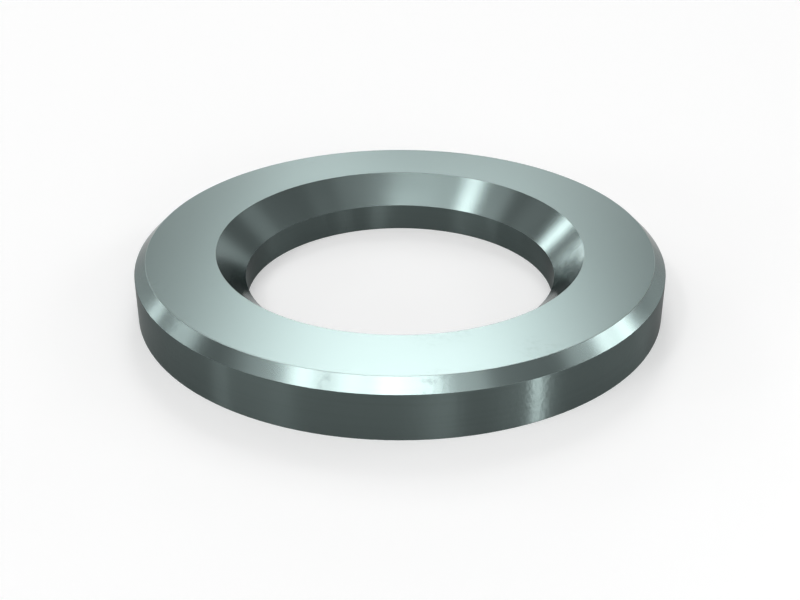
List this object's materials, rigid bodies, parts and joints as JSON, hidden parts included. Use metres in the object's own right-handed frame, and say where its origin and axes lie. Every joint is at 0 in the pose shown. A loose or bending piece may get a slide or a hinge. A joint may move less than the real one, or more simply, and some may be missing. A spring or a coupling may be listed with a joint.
{
  "type": "structural washer",
  "caption": "Round flat steel washer with a bevelled rim and a countersunk bore, laid under the head or nut of a structural bolt to spread its load.",
  "frame": {"origin": "centre of the bore, on the plain bearing face that the washer rests on", "axes": "+Z along the bore's axis, from the plain bearing face towards the bevelled and countersunk face; the washer is round, so X and Y may point anywhere across it"},
  "size_m": [0.039, 0.039, 0.0042],
  "materials": {
    "steel": "dark hardened steel, smooth turned, faint green-grey cast"
  },
  "bodies": {
    "root": {"washer": "steel"}
  },
  "joints": []
}
